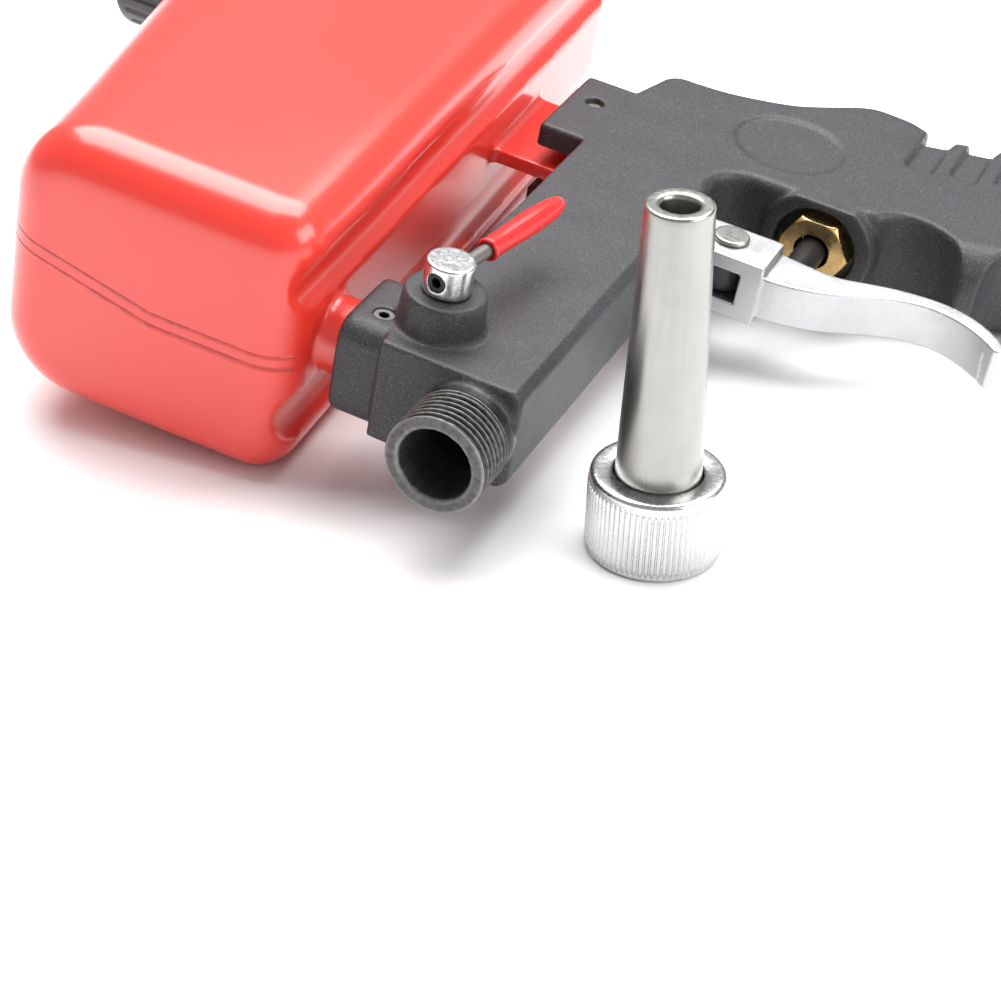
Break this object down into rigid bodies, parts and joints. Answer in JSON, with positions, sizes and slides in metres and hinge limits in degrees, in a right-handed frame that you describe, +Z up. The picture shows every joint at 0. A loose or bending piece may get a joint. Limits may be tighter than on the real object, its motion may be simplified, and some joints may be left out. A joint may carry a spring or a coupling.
{
  "type": "abrasive blasting gun",
  "caption": "Hand-held gravity-feed abrasive blasting gun with a side hopper, feed valve lever and trigger air valve, lying on its side beside its detachable knurled nozzle.",
  "frame": {"origin": "centre of the muzzle's end face", "axes": "+Z up from the bench the gun lies on, -Y out of the muzzle along the barrel, +X towards the grip"},
  "size_m": [0.2457, 0.186, 0.0713],
  "materials": {
    "cast_paint": "textured dark grey paint",
    "cast_aluminium": "tumbled bare casting",
    "zinc_steel": "zinc-plated, lightly brushed",
    "black_steel": "black oxide",
    "knurled_aluminium": "bright turned",
    "brass": "turned",
    "rubber": "moulded",
    "red_plastic": "blow-moulded, glossy",
    "red_dip": "dipped vinyl, glossy",
    "black_plastic": "moulded"
  },
  "bodies": {
    "gun": {"gun_body": "cast_paint", "trigger_pin": "zinc_steel", "pin_clip": "black_steel", "valve_nut": "brass", "stem_o_ring": "rubber", "valve_seat": "rubber", "inlet_fitting": "zinc_steel", "air_jet": "brass", "jet_o_ring": "rubber", "spindle_clip": "black_steel", "hopper": "red_plastic", "neck_grub_screw": "black_steel", "lug_screw": "zinc_steel"},
    "feed_valve": {"feed_spindle": "zinc_steel", "spindle_o_ring": "rubber", "valve_knob": "zinc_steel", "knob_grub_screw": "black_steel", "lever_rod": "black_steel", "lever_sleeve": "red_dip"},
    "trigger_lever": {"trigger": "cast_aluminium"},
    "air_valve": {"valve_stem": "black_steel", "valve_spring": "zinc_steel"},
    "cap_gasket": {"cap_seal": "rubber"},
    "cap": {"hopper_cap": "black_plastic"},
    "nozzle": {"nozzle_tube": "zinc_steel", "nozzle_seal": "rubber"},
    "nozzle_ring_nut": {"nozzle_nut": "knurled_aluminium"}
  },
  "joints": [
    {"name": "feed_lever", "type": "hinge", "parent": "gun", "child": "feed_valve", "pos_m": [-0.01336, 0.0275, 0.00193], "axis": [-0.1426, 0, -0.9898], "range_deg": [0, 66]},
    {"name": "trigger_pull", "type": "hinge", "parent": "gun", "child": "trigger_lever", "pos_m": [0.01881, 0.1015, -0.00271], "axis": [0.1426, 0, 0.9898], "range_deg": [0, 12]},
    {"name": "stem_push", "type": "slide", "parent": "gun", "child": "air_valve", "axis": [0, 1, 0], "range_m": [0, 0.003]},
    {"name": "cap_rise", "type": "slide", "parent": "gun", "child": "cap_gasket", "axis": [-0.9898, 0, 0.1426], "range_m": [0, 0.0101]},
    {"name": "cap_turn", "type": "hinge", "parent": "cap_gasket", "child": "cap", "pos_m": [-0.13817, 0.148, 0.01991], "axis": [-0.9898, 0, 0.1426], "range_deg": [0, 900]},
    {"name": "nozzle_lift", "type": "slide", "parent": "gun", "child": "nozzle", "axis": [0, 0, 1], "range_m": [0, 0.12]},
    {"name": "nut_spin", "type": "hinge", "parent": "nozzle", "child": "nozzle_ring_nut", "pos_m": [0.0334, 0.0268, -0.0229], "axis": [0, 0, 1], "continuous": true}
  ],
  "couplings": [
    {"joint": "stem_push", "follows": "trigger_pull", "m_per_rad": 0.014},
    {"joint": "cap_rise", "follows": "cap_turn", "m_per_rad": 0.00063662}
  ]
}
